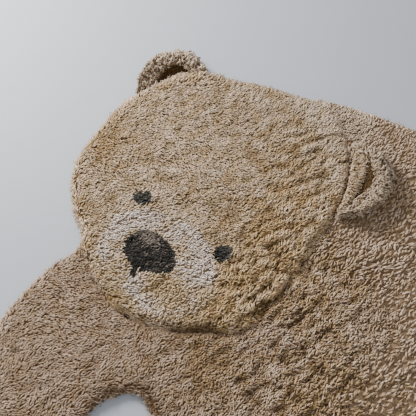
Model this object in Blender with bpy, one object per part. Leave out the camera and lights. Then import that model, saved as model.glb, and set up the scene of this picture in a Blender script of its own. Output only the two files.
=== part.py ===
"""Bear shaped tufted rug for a child's room, modelled lying flat (metres, +Z up).

The bear walks to the left and turns its face to the viewer.  +X runs from its head to
its rump and +Y from its paws to its back.  The rug is one tufted slab: its top follows
the pile, a little higher on the head, with a clipped groove under the chin, and short
locks of pile stand out of its whole rim and lie on the floor.  Each ear is a cupped,
tufted flap of its own: one is sewn to the edge of the head, the other lies on the
shoulder behind it.
"""
import math
import random

import bpy
from mathutils import Matrix, Vector, noise
from mathutils.geometry import delaunay_2d_cdt

# ---- driving sizes ----------------------------------------------------------------
BODY_PILE = 0.024          # height of the pile on the body
HEAD_PILE = 0.033          # height of the pile on the head
GROOVE_DEPTH = 0.008       # clipped groove around the head, below the body's pile
GROOVE_OUTER = 0.010       # groove, from its bottom line out to the body
GROOVE_INNER = 0.014       # groove, from its bottom line up to the head
LUMP = 0.0024              # unevenness of the pile
LUMP_LENGTH = 0.075        # distance from lump to lump
KNOBS = 2.6                # finer knobs on the lumps: this much closer, half as high
CREST_INSET, CREST_SHARE = 0.005, 0.68     # rounded rim: first step in, share of the height
BORDER_INSET, BORDER_SHARE = 0.014, 0.90   # rounded rim: second step in
RIM_FALL = 0.020           # the surface still falls off this far in from the rim
RIM_POINTS = 400           # points around the rim, two to each lock
HEAD_POINTS = 200          # points around the head's groove
LOCK_REACH = 0.014         # the slab ends this far inside the outline, and locks fill it
LOCK_LENGTHS = (0.010, 0.017)
LOCK_HEIGHT = 0.010
LOCK_SPREAD = 0.30         # a lock's root is wider than the gap beside it by this share
LOCK_SWAY = 0.004
SHARPEST_LOCK_BEND = 0.16  # radians between two rim points; no lock in a tighter hollow
TOP_SPACING = 0.024        # distance between the points of the pile's surface
TOP_CLEARANCE = 0.0145     # between those and the points of the rim, groove and seat
ROW_SPACING = 0.016        # distance between the points along the groove
ROUNDING = 0.001           # a point this near the groove's bottom line is on it
GAP = 0.0003               # between an ear and what it is sewn to or lies on
SEED = 11

# Outline of the pile, a row for each landmark, counterclockwise from the left temple, in
# metres from the point between the eyes, with +Y up the face.
OUTLINE = (
    # landmark            x       y
    ("left temple",    -0.276,  0.200),
    ("left cheek",     -0.289,  0.110),
    ("left jaw",       -0.276, -0.021),
    ("under the jaw",  -0.222, -0.092),
    ("throat",         -0.153, -0.147),
    ("chest",          -0.174, -0.230),
    ("foreleg front",  -0.180, -0.390),
    ("front toes",     -0.160, -0.512),
    ("front sole",     -0.050, -0.562),
    ("front heel",      0.045, -0.522),
    ("foreleg back",    0.068, -0.420),
    ("armpit side",     0.078, -0.362),
    ("armpit",          0.128, -0.312),
    ("armpit end",      0.171, -0.328),
    ("belly",           0.300, -0.356),
    ("groin",           0.460, -0.338),
    ("hind leg front",  0.520, -0.420),
    ("hind toes",       0.555, -0.522),
    ("hind sole",       0.660, -0.562),
    ("hind heel",       0.768, -0.510),
    ("hind leg back",   0.796, -0.370),
    ("thigh",           0.814, -0.180),
    ("rump",            0.815,  0.010),
    ("rump top",        0.762,  0.200),
    ("loin",            0.652,  0.352),
    ("back",            0.508,  0.450),
    ("withers",         0.358,  0.490),
    ("neck",            0.225,  0.476),
    ("crown right",     0.128,  0.449),
    ("crown",          -0.019,  0.399),
    ("crown left",     -0.105,  0.363),
    ("ear, upper end", -0.178,  0.328),
    ("under the ear",  -0.236,  0.274),
)

# Groove that parts the head from the body; where the head ends at the rug's own edge the
# rows run past it.
HEAD = (
    # landmark            x       y
    ("throat",         -0.165, -0.140),
    ("chin left",      -0.076, -0.191),
    ("chin",           -0.015, -0.212),
    ("chin right",      0.072, -0.197),
    ("right jaw low",   0.160, -0.147),
    ("right jaw",       0.220, -0.095),
    ("right cheek",     0.240,  0.010),
    ("right temple",    0.240,  0.180),
    ("ear, low",        0.232,  0.262),
    ("ear, high",       0.196,  0.345),
    ("crown right",     0.110,  0.415),
    ("past the crown",  0.000,  0.470),
    ("past the ear",   -0.240,  0.400),
    ("past the temple", -0.360,  0.200),
    ("past the cheek", -0.360, -0.020),
    ("past the jaw",   -0.270, -0.130),
)

# The shoulder rises to the head's height behind the crown, and the groove fades there.
SHOULDER_X, SHOULDER_Y, SHOULDER_RADIUS = 0.115, 0.430, 0.120

# Ears, from the middle of the seam outwards.
EAR_HALF_WIDTH = 0.088
EAR_LENGTH = 0.096
EAR_STEPS = 28             # along the seam
EAR_WALL = 0.012           # height of the upright outer wall
EAR_LUMP_LENGTH = 0.033    # distance from lump to lump on an ear
EAR_LOCK_LENGTHS = (0.005, 0.010)
EAR_ROUNDNESS = 0.8        # 1 is a plain ellipse, less is fuller
EAR_RISE = 0.6             # how soon the rim reaches its height, from either end
EAR_END_HEIGHT = 0.5       # height at the seam's ends, as a share of the full height
EAR_END_WIDTH = 0.10       # width left at the seam's ends, as a share of the length
EAR_PROFILE = (
    # share of the width   height over the ear's underside
    (0.00, 0.010),
    (0.16, 0.008),
    (0.34, 0.010),
    (0.48, 0.020),
    (0.60, 0.032),
    (0.74, 0.040),
    (0.88, 0.037),
    (0.97, 0.026),
    (1.00, EAR_WALL),
)
LEFT_SEAM = ((-0.276, 0.196), (-0.182, 0.326))     # ends of the seam on the rug's edge
RIGHT_SEAM = ((0.192, 0.350), (0.240, 0.206))      # ends of the seam beside the groove
SEAM_OFFSET = 0.004        # the right ear's seam, outside the groove's bottom line
SEAT_MARGIN = 0.042        # the pile is pressed level this far around the right ear
SEAT_BLEND = 0.040         # and rises to its full height over this distance
SEAT_HEIGHT = 0.021        # pile height under the right ear


# ---- materials ----------------------------------------------------------------------
def yarn(name, colour, roughness):
    material = bpy.data.materials.new(name)
    material.use_nodes = True
    shader = material.node_tree.nodes["Principled BSDF"]
    shader.inputs["Base Color"].default_value = (*colour, 1.0)
    shader.inputs["Roughness"].default_value = roughness
    shader.inputs["Metallic"].default_value = 0.0
    return material


# ---- curves in the plane --------------------------------------------------------------
def closed_curve(rows, count, odd_shift=0.0):
    """Points along a smooth closed curve through the rows' landmarks.

    They are even, but for every second one, which moves on by odd_shift of a step.
    """
    marks = [Vector((x, y)) for _, x, y in rows]
    dense = []
    steps = 24
    for i, start in enumerate(marks):
        before, end, after = marks[i - 1], marks[(i + 1) % len(marks)], marks[(i + 2) % len(marks)]
        k0, k1, k2 = ((a - b).length ** 0.5 for a, b in ((start, before), (end, start), (after, end)))
        slope_in = ((start - before) / k0 - (end - before) / (k0 + k1) + (end - start) / k1) * k1
        slope_out = ((end - start) / k1 - (after - start) / (k1 + k2) + (after - end) / k2) * k1
        for step in range(steps):
            t = step / steps
            dense.append((2 * t**3 - 3 * t**2 + 1) * start + (t**3 - 2 * t**2 + t) * slope_in
                         + (3 * t**2 - 2 * t**3) * end + (t**3 - t**2) * slope_out)
    lengths = [0.0]
    for i in range(len(dense)):
        lengths.append(lengths[-1] + (dense[(i + 1) % len(dense)] - dense[i]).length)
    points, segment = [], 0
    for i in range(count):
        target = lengths[-1] * (i + odd_shift * (i % 2)) / count
        while lengths[segment + 1] < target:
            segment += 1
        share = (target - lengths[segment]) / (lengths[segment + 1] - lengths[segment])
        points.append(dense[segment].lerp(dense[(segment + 1) % len(dense)], share))
    return points


def outward_normals(points):
    """Unit normals of a closed counterclockwise loop, pointing away from its inside."""
    normals = []
    for i in range(len(points)):
        along = (points[(i + 1) % len(points)] - points[i - 1]).normalized()
        normals.append(Vector((along.y, -along.x)))
    return normals


def depth_inside(point, loop):
    """Distance from a point to a closed loop, negative outside it."""
    nearest, inside = math.inf, False
    for i, b in enumerate(loop):
        a = loop[i - 1]
        edge = b - a
        share = min(1.0, max(0.0, (point - a).dot(edge) / edge.length_squared))
        nearest = min(nearest, (a + edge * share - point).length_squared)
        if (a.y > point.y) != (b.y > point.y):
            if point.x < a.x + (point.y - a.y) / (b.y - a.y) * (b.x - a.x):
                inside = not inside
    return math.sqrt(nearest) if inside else -math.sqrt(nearest)


def smooth(value):
    value = min(1.0, max(0.0, value))
    return value * value * (3.0 - 2.0 * value)


def nearest_index(points, target):
    return min(range(len(points)), key=lambda i: (points[i] - Vector(target)).length_squared)


# ---- the pile's surface -----------------------------------------------------------------
OUTER_LOOP = closed_curve(OUTLINE, RIM_POINTS, LOCK_SPREAD)
SLAB_LOOP = [p - n * LOCK_REACH for p, n in zip(OUTER_LOOP, outward_normals(OUTER_LOOP))]
HEAD_LOOP = closed_curve(HEAD, HEAD_POINTS)
HEAD_NORMALS = outward_normals(HEAD_LOOP)


def shoulder(point):
    """1 where the shoulder meets the crown, 0 away from it."""
    away = (point - Vector((SHOULDER_X, SHOULDER_Y))).length / SHOULDER_RADIUS
    return math.exp(-away * away)


def pile_height(point, seat):
    """Height of the pile's surface over the floor, away from the rim.

    seat is the right ear's footprint, which presses the pile level, or None.
    """
    depth = depth_inside(point, HEAD_LOOP)
    pressed = 0.0
    if seat and depth < ROUNDING:
        pressed = 1.0 - smooth((-depth_inside(point, seat) - SEAT_MARGIN) / SEAT_BLEND)
    body = BODY_PILE + (HEAD_PILE - BODY_PILE) * shoulder(point)
    bottom = body - GROOVE_DEPTH * (1.0 - shoulder(point))
    if depth < 0:
        height = bottom + (body - bottom) * smooth(-depth / GROOVE_OUTER)
    else:
        height = bottom + (HEAD_PILE - bottom) * smooth(depth / GROOVE_INNER)
    place = point.to_3d() / LUMP_LENGTH
    height += LUMP * (noise.noise(place) + 0.5 * noise.noise(place * KNOBS))
    return height + (SEAT_HEIGHT - height) * pressed


def fill(points, borders, rows=()):
    """Triangles that fill the border loop and use every point, with rows kept as edges."""
    edges = [(a, b) for row in rows for a, b in zip(row, row[1:])]
    flat, _, faces, origins, _, _ = delaunay_2d_cdt(points, edges, [borders], 1, 1e-6)
    source = [origin[0] for origin in origins]
    triangles = []
    for face in faces:
        a, b, c = (flat[i] for i in face)
        order = face if (b - a).cross(c - a) > 0 else face[::-1]
        triangles.append([source[i] for i in order])
    return triangles


def new_object(name, vertices, faces, material):
    mesh = bpy.data.meshes.new(name)
    mesh.from_pydata(vertices, [], faces)
    mesh.materials.append(material)
    mesh.shade_smooth()
    mesh.set_sharp_from_angle(angle=math.radians(50))
    obj = bpy.data.objects.new(name, mesh)
    bpy.context.scene.collection.objects.link(obj)
    return obj


def add_lock(vertices, faces, root, outward, length, sway):
    """Grow one tapered lock out of an upright wall quad, lying level on its underside.

    root holds the quad's vertex numbers: lower start, lower end, upper end, upper start.
    """
    low_a, low_b = Vector(vertices[root[0]]), Vector(vertices[root[1]])
    height = vertices[root[2]][2] - low_a.z
    middle, half = (low_a + low_b) / 2, (low_b - low_a) / 2
    along = half.normalized()
    previous = root
    for share, width, thickness in ((0.55, 0.86, 0.80), (1.0, 0.42, 0.34)):
        centre = middle + outward * length * share + along * sway * share**2
        lift = Vector((0, 0, height * thickness))
        section = [centre - half * width, centre + half * width]
        section += [section[1] + lift, section[0] + lift]
        first = len(vertices)
        vertices.extend(tuple(v) for v in section)
        ring = [first, first + 1, first + 2, first + 3]
        for k in range(4):
            faces.append([previous[k], previous[(k + 1) % 4], ring[(k + 1) % 4], ring[k]])
        previous = ring
    faces.append(previous)


# ---- the rug ------------------------------------------------------------------------------
def groove_rows(border):
    """Rows of points along the groove: its outer lip, its bottom and the head's shoulder."""
    rows = []
    stride = max(1, round(ROW_SPACING / (HEAD_LOOP[1] - HEAD_LOOP[0]).length))
    for offset in (GROOVE_OUTER, 0.0, -GROOVE_INNER):
        row = []
        for i in range(0, len(HEAD_LOOP), stride):
            point = HEAD_LOOP[i] + HEAD_NORMALS[i] * offset
            if depth_inside(point, border) > GROOVE_OUTER:
                row.append(point)
        rows.append(row)
    return rows


def build_rim(vertices, faces, crest, border, bare):
    """The slab's underside, its rounded rim and the locks; bare rim points carry none."""
    normals = outward_normals(SLAB_LOOP)
    count = len(SLAB_LOOP)
    heights = [pile_height(p - n * BORDER_INSET, None) for p, n in zip(border, normals)]
    vertices += [(p.x, p.y, 0.0) for p in SLAB_LOOP]
    vertices += [(p.x, p.y, LOCK_HEIGHT) for p in SLAB_LOOP]
    vertices += [(p.x, p.y, CREST_SHARE * h) for p, h in zip(crest, heights)]
    vertices += [(p.x, p.y, BORDER_SHARE * h) for p, h in zip(border, heights)]
    faces += [triangle[::-1] for triangle in fill(SLAB_LOOP, list(range(count)))]
    rng = random.Random(SEED)
    for i in range(count):
        j = (i + 1) % count
        for ring in (count, 2 * count):
            faces.append([ring + i, ring + j, ring + count + j, ring + count + i])
        root = [i, j, count + j, count + i]
        bend = normals[i - 1].cross(normals[(i + 2) % count]) / 3
        length = rng.uniform(*LOCK_LENGTHS)
        sway = rng.uniform(-LOCK_SWAY, LOCK_SWAY)
        if i % 2 or i in bare or bend < -SHARPEST_LOCK_BEND:
            faces.append(root)
        else:
            outward = (normals[i] + normals[j]).normalized()
            add_lock(vertices, faces, root, outward.to_3d(), length, sway)


def surface_points(border, seat):
    """Points of the pile's surface, and the rows of them that stay joined by edges.

    They are the rim's ring, the rows along the groove, the right ear's seat and an even
    field over the rest.
    """
    points, rows = list(border), []
    for row in groove_rows(border):
        indices = list(range(len(points), len(points) + len(row)))
        points += row
        jumps = [k for k in indices[1:] if (points[k] - points[k - 1]).length > 2 * ROW_SPACING]
        starts = [indices[0]] + jumps
        ends = jumps + [indices[-1] + 1]
        rows += [list(range(start, end)) for start, end in zip(starts, ends)]
    points += [p for p in seat[::2] if depth_inside(p, HEAD_LOOP) < -1.5 * GROOVE_OUTER]
    kept = points[len(border):]
    low_x, high_x = min(p.x for p in border), max(p.x for p in border)
    low_y, high_y = min(p.y for p in border), max(p.y for p in border)
    row_step = TOP_SPACING * math.sqrt(3) / 2
    for line in range(int((high_y - low_y) / row_step) + 1):
        shift = TOP_SPACING / 2 * (line % 2)
        for column in range(int((high_x - low_x) / TOP_SPACING) + 1):
            point = Vector((low_x + shift + column * TOP_SPACING, low_y + line * row_step))
            clear = depth_inside(point, border) > TOP_CLEARANCE
            if clear and all((point - other).length > TOP_CLEARANCE for other in kept):
                points.append(point)
    return points, rows


def build_rug(material, seat, bare):
    """The whole slab; the right ear lies on seat, and bare rim points carry no locks."""
    normals = outward_normals(SLAB_LOOP)
    crest = [p - n * CREST_INSET for p, n in zip(SLAB_LOOP, normals)]
    border = [p - n * BORDER_INSET for p, n in zip(SLAB_LOOP, normals)]
    vertices, faces = [], []
    build_rim(vertices, faces, crest, border, bare)

    points, rows = surface_points(border, seat)
    count, first = len(border), len(vertices)
    for point in points[count:]:
        fall = (1.0 - BORDER_SHARE) * math.exp(-depth_inside(point, border) / RIM_FALL)
        vertices.append((point.x, point.y, pile_height(point, seat) * (1.0 - fall)))
    for triangle in fill(points, list(range(count)), rows):
        faces.append([3 * count + k if k < count else first + k - count for k in triangle])
    return new_object("rug", vertices, faces, material)


# ---- the ears -----------------------------------------------------------------------------
def ear_outer_arc(seam):
    """Outer edge of an ear, one point for each point of its seam, by a half ellipse."""
    start, end = seam[0], seam[-1]
    middle, along = (start + end) / 2, (end - start).normalized()
    outward = Vector((along.y, -along.x))
    arc = []
    for i in range(len(seam)):
        angle = math.pi * (i / (len(seam) - 1))
        reach = max(max(math.sin(angle), 0.0) ** EAR_ROUNDNESS, EAR_END_WIDTH)
        arc.append(middle - along * EAR_HALF_WIDTH * math.cos(angle) + outward * EAR_LENGTH * reach)
    return arc


def build_ear(name, material, seam, floor, seed):
    """A cupped flap: a hollow along the seam and a thick, high rim around it."""
    arc = ear_outer_arc(seam)
    steps, columns = len(seam) - 1, len(EAR_PROFILE) - 1
    vertices = []
    for i, (root, rim) in enumerate(zip(seam, arc)):
        middle_share = max(math.sin(math.pi * i / steps), 0.0) ** EAR_RISE
        swell = EAR_END_HEIGHT + (1.0 - EAR_END_HEIGHT) * middle_share
        for share, height in EAR_PROFILE:
            point = root.lerp(rim, share)
            upright = height
            if 0.0 < share < 1.0:
                place = Vector((point.x / EAR_LUMP_LENGTH, point.y / EAR_LUMP_LENGTH, seed))
                upright = height * swell + LUMP * noise.noise(place)
            vertices.append((point.x, point.y, floor + upright))
    underside = len(vertices)
    vertices += [(p.x, p.y, floor) for p in seam]
    vertices += [(p.x, p.y, floor) for p in arc]

    def top(i, j):
        return i * (columns + 1) + j

    def low(i, outer):
        return underside + (steps + 1 if outer else 0) + i

    faces = []
    for i in range(steps):
        faces.append([low(i, 0), low(i + 1, 0), low(i + 1, 1), low(i, 1)])
        faces.append([low(i + 1, 0), low(i, 0), top(i, 0), top(i + 1, 0)])
        for j in range(columns):
            faces.append([top(i, j), top(i, j + 1), top(i + 1, j + 1), top(i + 1, j)])
    faces.append([low(0, 0), low(0, 1)] + [top(0, j) for j in range(columns, -1, -1)])
    faces.append([low(steps, 1), low(steps, 0)] + [top(steps, j) for j in range(columns + 1)])
    rng = random.Random(seed)
    for i in range(steps):
        root = [low(i, 1), low(i + 1, 1), top(i + 1, columns), top(i, columns)]
        edge = arc[i + 1] - arc[i]
        outward = Vector((edge.y, -edge.x)).normalized()
        if i % 2 and 2 < i < steps - 3:
            length = rng.uniform(*EAR_LOCK_LENGTHS)
            sway = rng.uniform(-LOCK_SWAY, LOCK_SWAY) / 2
            add_lock(vertices, faces, root, outward.to_3d(), length, sway)
        else:
            faces.append(root)
    return new_object(name, vertices, faces, material)


def seam_on_edge(ends):
    """The left ear's seam, just outside the slab's edge between two places."""
    normals = outward_normals(SLAB_LOOP)
    low, high = (nearest_index(SLAB_LOOP, end) for end in ends)
    span = list(range(high, low + RIM_POINTS + 1)) if low < high else list(range(high, low + 1))
    seam = [SLAB_LOOP[i % RIM_POINTS] + normals[i % RIM_POINTS] * GAP for i in span]
    return seam, {i % RIM_POINTS for i in span}


def seam_on_body(ends):
    """The right ear's seam, beside the groove between two places."""
    first, last = sorted(nearest_index(HEAD_LOOP, end) for end in ends)
    span = range(first, last + 1)
    return [HEAD_LOOP[i] + HEAD_NORMALS[i] * SEAM_OFFSET for i in span]


def even_steps(line, steps):
    """The same open line with its points spread evenly."""
    total = sum((b - a).length for a, b in zip(line, line[1:]))
    points, segment, walked = [line[0]], 0, 0.0
    for i in range(1, steps):
        target = total * i / steps
        while walked + (line[segment + 1] - line[segment]).length < target:
            walked += (line[segment + 1] - line[segment]).length
            segment += 1
        edge = line[segment + 1] - line[segment]
        points.append(line[segment] + edge * ((target - walked) / edge.length))
    return points + [line[-1]]


def main():
    for obj in list(bpy.data.objects):
        bpy.data.objects.remove(obj, do_unlink=True)
    rug_yarn = yarn("tufted tan cotton", (0.52, 0.39, 0.27), 0.95)
    ear_yarn = yarn("tufted grey tan cotton", (0.42, 0.32, 0.24), 0.95)

    left_seam, bare = seam_on_edge(LEFT_SEAM)
    right_seam = even_steps(seam_on_body(RIGHT_SEAM), EAR_STEPS)
    seat = right_seam + ear_outer_arc(right_seam)[::-1]

    rug = build_rug(rug_yarn, seat, bare)
    ears = [
        build_ear("ear_left", ear_yarn, left_seam, 0.0, SEED + 1),
        build_ear("ear_right", ear_yarn, right_seam, SEAT_HEIGHT + GAP, SEED + 2),
    ]

    # The origin goes to the middle of the underside of the whole rug.
    corners = [v.co for obj in [rug, *ears] for v in obj.data.vertices]
    middle_x = (min(c.x for c in corners) + max(c.x for c in corners)) / 2
    middle_y = (min(c.y for c in corners) + max(c.y for c in corners)) / 2
    for obj in [rug, *ears]:
        obj.data.transform(Matrix.Translation((-middle_x, -middle_y, 0.0)))
    print("the point between the eyes is at", round(-middle_x, 4), round(-middle_y, 4))


main()
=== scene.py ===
# %% [markdown]
# # A bear shaped rug for a child's room
# The rug is hand tufted: short ends of twisted cotton yarn are shot through a cloth backing, so the whole top
# is a bed of small curls. This lesson starts from the rug's measured solids and builds what the eye sees on
# them: the backing, tens of thousands of curls in several yarns, and two cupped ears. The first cell loads
# the measured frame, because the finished rug must stay the size that was measured.

# %% Load the measured frame
import math
import random

import bpy
import numpy as np
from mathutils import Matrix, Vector, noise
from mathutils.bvhtree import BVHTree
from mathutils.geometry import delaunay_2d_cdt


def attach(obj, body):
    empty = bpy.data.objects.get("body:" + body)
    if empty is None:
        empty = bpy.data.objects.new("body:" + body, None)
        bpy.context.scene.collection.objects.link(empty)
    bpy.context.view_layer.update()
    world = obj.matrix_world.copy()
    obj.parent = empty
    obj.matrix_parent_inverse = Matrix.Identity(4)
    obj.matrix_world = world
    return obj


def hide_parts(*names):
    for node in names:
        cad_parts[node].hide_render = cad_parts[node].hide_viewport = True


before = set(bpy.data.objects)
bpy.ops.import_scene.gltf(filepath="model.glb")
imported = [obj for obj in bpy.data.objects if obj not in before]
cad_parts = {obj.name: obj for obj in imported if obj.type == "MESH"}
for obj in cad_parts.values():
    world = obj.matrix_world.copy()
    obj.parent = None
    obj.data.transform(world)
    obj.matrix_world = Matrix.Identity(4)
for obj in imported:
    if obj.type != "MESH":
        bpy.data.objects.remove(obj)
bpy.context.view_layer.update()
print("nodes:", sorted(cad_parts))

# %% [markdown]
# A few small helpers serve the whole lesson. Colours are written as the sRGB hex values that a
# colour picker shows, and one function turns them into the linear numbers that shaders need.
# One function adds a node of any kind with its settings and links, so that each tree below
# reads as a list of steps, and the next ones start a material and end it in the same way. The
# last one makes a mesh object.


# %% Helpers for colours, nodes and meshes
def colour(hex_code):
    """An sRGB hex code as linear red, green, blue and alpha."""
    parts = [int(hex_code[i : i + 2], 16) / 255 for i in (1, 3, 5)]
    return (*[p / 12.92 if p <= 0.04045 else ((p + 0.055) / 1.055) ** 2.4 for p in parts], 1.0)


def add_node(tree, kind, links=None, **settings):
    """Add a node; links maps an input's name or number to a value or to another node's output."""
    node = tree.nodes.new(kind)
    for name, value in settings.items():
        setattr(node, name, value)
    for key, value in (links or {}).items():
        if isinstance(value, bpy.types.NodeSocket):
            tree.links.new(value, node.inputs[key])
        else:
            node.inputs[key].default_value = value
    return node


def make_material(name, **values):
    """A new material, its shader with some values set, and a short way to add nodes to it."""
    material = bpy.data.materials.new(name)
    material.use_nodes = True
    shader = material.node_tree.nodes["Principled BSDF"]
    for key, value in values.items():
        shader.inputs[key.replace("_", " ")].default_value = value

    def add(kind, links=None, **settings):
        return add_node(material.node_tree, kind, links, **settings)

    return material, shader, add


def feed(shader, **sockets):
    """Link the outputs that a material ends in to its shader."""
    for key, socket in sockets.items():
        shader.id_data.links.new(socket, shader.inputs[key.replace("_", " ")])


def mix_colours(add, factor, low, high):
    return add("ShaderNodeMix", {"Factor": factor, 6: low, 7: high}, data_type="RGBA").outputs[2]


def make_object(name, vertices, faces, shown=True):
    mesh = bpy.data.meshes.new(name)
    mesh.from_pydata([tuple(v) for v in vertices], [], [tuple(f) for f in faces])
    obj = bpy.data.objects.new(name, mesh)
    if shown:
        bpy.context.scene.collection.objects.link(obj)
    return obj


# %% [markdown]
# The camera stands at the bear's paws and looks steeply down, with the face turned a little in
# the frame. Its height, tilt and turn were worked out once from the perspective of the
# photograph, and are plain numbers here.

# %% Camera at the viewpoint of the photograph
CAMERA_PLACE = (0.0208, -0.2513, 1.1541)
CAMERA_TILT = 20.97  # degrees away from looking straight down
CAMERA_TURN = 35.56  # degrees about the vertical
CAMERA_LENS, SENSOR_WIDTH = 50.0, 36.0  # mm

camera_data = bpy.data.cameras.new("camera")
camera_data.lens = CAMERA_LENS
camera_data.sensor_width = SENSOR_WIDTH
camera = bpy.data.objects.new("camera", camera_data)
camera.location = CAMERA_PLACE
camera.rotation_euler = (math.radians(CAMERA_TILT), 0.0, math.radians(CAMERA_TURN))
bpy.context.scene.collection.objects.link(camera)
bpy.context.scene.camera = camera

# Directions on the floor, as they run in the picture.
TURN = math.radians(CAMERA_TURN)
PICTURE_RIGHT = Vector((math.cos(TURN), math.sin(TURN), 0.0))
PICTURE_UP = Vector((-math.sin(TURN), math.cos(TURN), 0.0))
print("camera:", CAMERA_PLACE, "right of picture:", [round(v, 3) for v in PICTURE_RIGHT])

# %% [markdown]
# The room's light is soft and comes from a window behind the bear's head, so every curl has a
# bright side and a shaded one. A large area lamp stands in for the window, a second, weak one
# keeps the near side from going black, and the pale world fills the rest. The floor is a plain
# pale sheet that only catches the shadow.

# %% Studio floor and lights
FLOOR_SIZE = 12.0  # metres
LAMPS_AIM = Vector((-0.15, 0.0, 0.0))  # the place on the floor that the lamps point at
floor = make_object(
    "studio_floor",
    [(x * FLOOR_SIZE / 2, y * FLOOR_SIZE / 2, 0.0) for x, y in ((-1, -1), (1, -1), (1, 1), (-1, 1))],
    [(0, 1, 2, 3)],
)
floor_paint, _, _ = make_material("matt pale paint", Base_Color=colour("#BABEC7"), Roughness=0.6)
floor.data.materials.append(floor_paint)


def add_lamp(name, away, height, size, watts, tint):
    """A round area lamp over the floor, this far away from what it is aimed at."""
    data = bpy.data.lights.new(name, "AREA")
    data.shape, data.size, data.energy = "DISK", size, watts
    data.color = colour(tint)[:3]
    lamp = bpy.data.objects.new(name, data)
    lamp.location = LAMPS_AIM + away + Vector((0.0, 0.0, height))
    aim = LAMPS_AIM - lamp.location
    lamp.rotation_euler = aim.to_track_quat("-Z", "Y").to_euler()
    bpy.context.scene.collection.objects.link(lamp)


add_lamp("window light", PICTURE_UP * 1.25 - PICTURE_RIGHT * 1.15, 1.0, 0.8, 64.0, "#FFFDFA")
add_lamp("fill light", PICTURE_RIGHT * 1.2 - PICTURE_UP * 0.8, 2.0, 2.0, 5.0, "#FFF9F0")

world = bpy.data.worlds.new("soft room")
bpy.context.scene.world = world
world.use_nodes = True
sky = world.node_tree.nodes["Background"].inputs
sky["Color"].default_value, sky["Strength"].default_value = colour("#E9EDF2"), 0.575

# %% [markdown]
# The rug's shape is drawn as a maker draws a paper pattern: a closed line through a few
# landmarks. All places are measured on the face, in metres from the point between the eyes,
# with +Y up the face, and `FACE` moves them into the rug's own frame. The same landmarks give
# the solid, so the backing lies inside it everywhere.

# %% The pattern lines of the rug
FACE = Vector((-0.24897, 0.03546))  # the point between the eyes, in the rug's frame

OUTLINE = (
    # x, y
    (-0.276, 0.200), (-0.289, 0.110), (-0.276, -0.021), (-0.222, -0.092), (-0.153, -0.147),
    (-0.174, -0.230), (-0.180, -0.390), (-0.160, -0.512), (-0.050, -0.562), (0.045, -0.522),
    (0.068, -0.420), (0.078, -0.362), (0.128, -0.312), (0.171, -0.328), (0.300, -0.356),
    (0.460, -0.338), (0.520, -0.420), (0.555, -0.522), (0.660, -0.562), (0.768, -0.510),
    (0.796, -0.370), (0.814, -0.180), (0.815, 0.010), (0.762, 0.200), (0.652, 0.352),
    (0.508, 0.450), (0.358, 0.490), (0.225, 0.476), (0.128, 0.449), (-0.019, 0.399),
    (-0.105, 0.363), (-0.178, 0.328), (-0.236, 0.274),
)  # fmt: skip
HEAD = (
    (-0.165, -0.140), (-0.076, -0.191), (-0.015, -0.212), (0.072, -0.197), (0.160, -0.147),
    (0.220, -0.095), (0.240, 0.010), (0.240, 0.180), (0.232, 0.262), (0.196, 0.345),
    (0.110, 0.415), (0.000, 0.470), (-0.240, 0.400), (-0.360, 0.200), (-0.360, -0.020),
    (-0.270, -0.130),
)  # fmt: skip
MUZZLE = (
    (-0.138, -0.090), (-0.130, -0.050), (-0.093, -0.019), (-0.046, 0.006), (-0.005, 0.010),
    (0.040, 0.010), (0.080, -0.006), (0.117, -0.045), (0.139, -0.088), (0.135, -0.125),
    (0.100, -0.165), (0.060, -0.190), (0.020, -0.190), (-0.030, -0.184), (-0.085, -0.172),
    (-0.125, -0.138),
)  # fmt: skip
NOSE = (
    (-0.076, -0.100), (-0.077, -0.080), (-0.065, -0.056), (-0.037, -0.045), (0.002, -0.051),
    (0.028, -0.063), (0.037, -0.081), (0.028, -0.104), (0.006, -0.117), (-0.018, -0.126),
    (-0.046, -0.124), (-0.067, -0.114),
)  # fmt: skip
MOUTH = (
    (-0.044, -0.114), (-0.034, -0.130), (-0.023, -0.149), (-0.016, -0.147), (-0.018, -0.130),
    (-0.020, -0.114),
)  # fmt: skip
LEFT_EYE = (
    (-0.128, -0.002), (-0.118, 0.010), (-0.101, 0.018), (-0.091, 0.009), (-0.090, -0.004),
    (-0.105, -0.018), (-0.122, -0.016),
)  # fmt: skip
RIGHT_EYE = (
    (0.081, 0.000), (0.088, 0.012), (0.101, 0.020), (0.111, 0.015), (0.117, 0.001),
    (0.116, -0.016), (0.101, -0.022), (0.086, -0.014),
)  # fmt: skip


def pattern_line(landmarks, count, origin=FACE):
    """Even points along the smooth closed curve through the landmarks, moved by the origin."""
    marks = [origin + Vector(m) for m in landmarks]
    dense = []
    for i, start in enumerate(marks):
        before, end, after = marks[i - 1], marks[(i + 1) % len(marks)], marks[(i + 2) % len(marks)]
        k0, k1, k2 = ((a - b).length ** 0.5 for a, b in ((start, before), (end, start), (after, end)))
        slope_in = ((start - before) / k0 - (end - before) / (k0 + k1) + (end - start) / k1) * k1
        slope_out = ((end - start) / k1 - (after - start) / (k1 + k2) + (after - end) / k2) * k1
        for step in range(24):
            t = step / 24
            dense.append(
                (2 * t**3 - 3 * t**2 + 1) * start
                + (t**3 - 2 * t**2 + t) * slope_in
                + (3 * t**2 - 2 * t**3) * end
                + (t**3 - t**2) * slope_out
            )
    ring = np.array([tuple(p) for p in dense + dense[:1]])
    walked = np.concatenate([[0.0], np.cumsum(np.linalg.norm(np.diff(ring, axis=0), axis=1))])
    targets = np.arange(count) * walked[-1] / count
    return np.stack([np.interp(targets, walked, ring[:, k]) for k in (0, 1)], axis=1)


def outward(ring):
    """Unit normals of a closed counterclockwise ring of points."""
    along = np.roll(ring, -1, axis=0) - np.roll(ring, 1, axis=0)
    normal = np.stack([along[:, 1], -along[:, 0]], axis=1)
    return normal / np.linalg.norm(normal, axis=1, keepdims=True)


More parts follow.
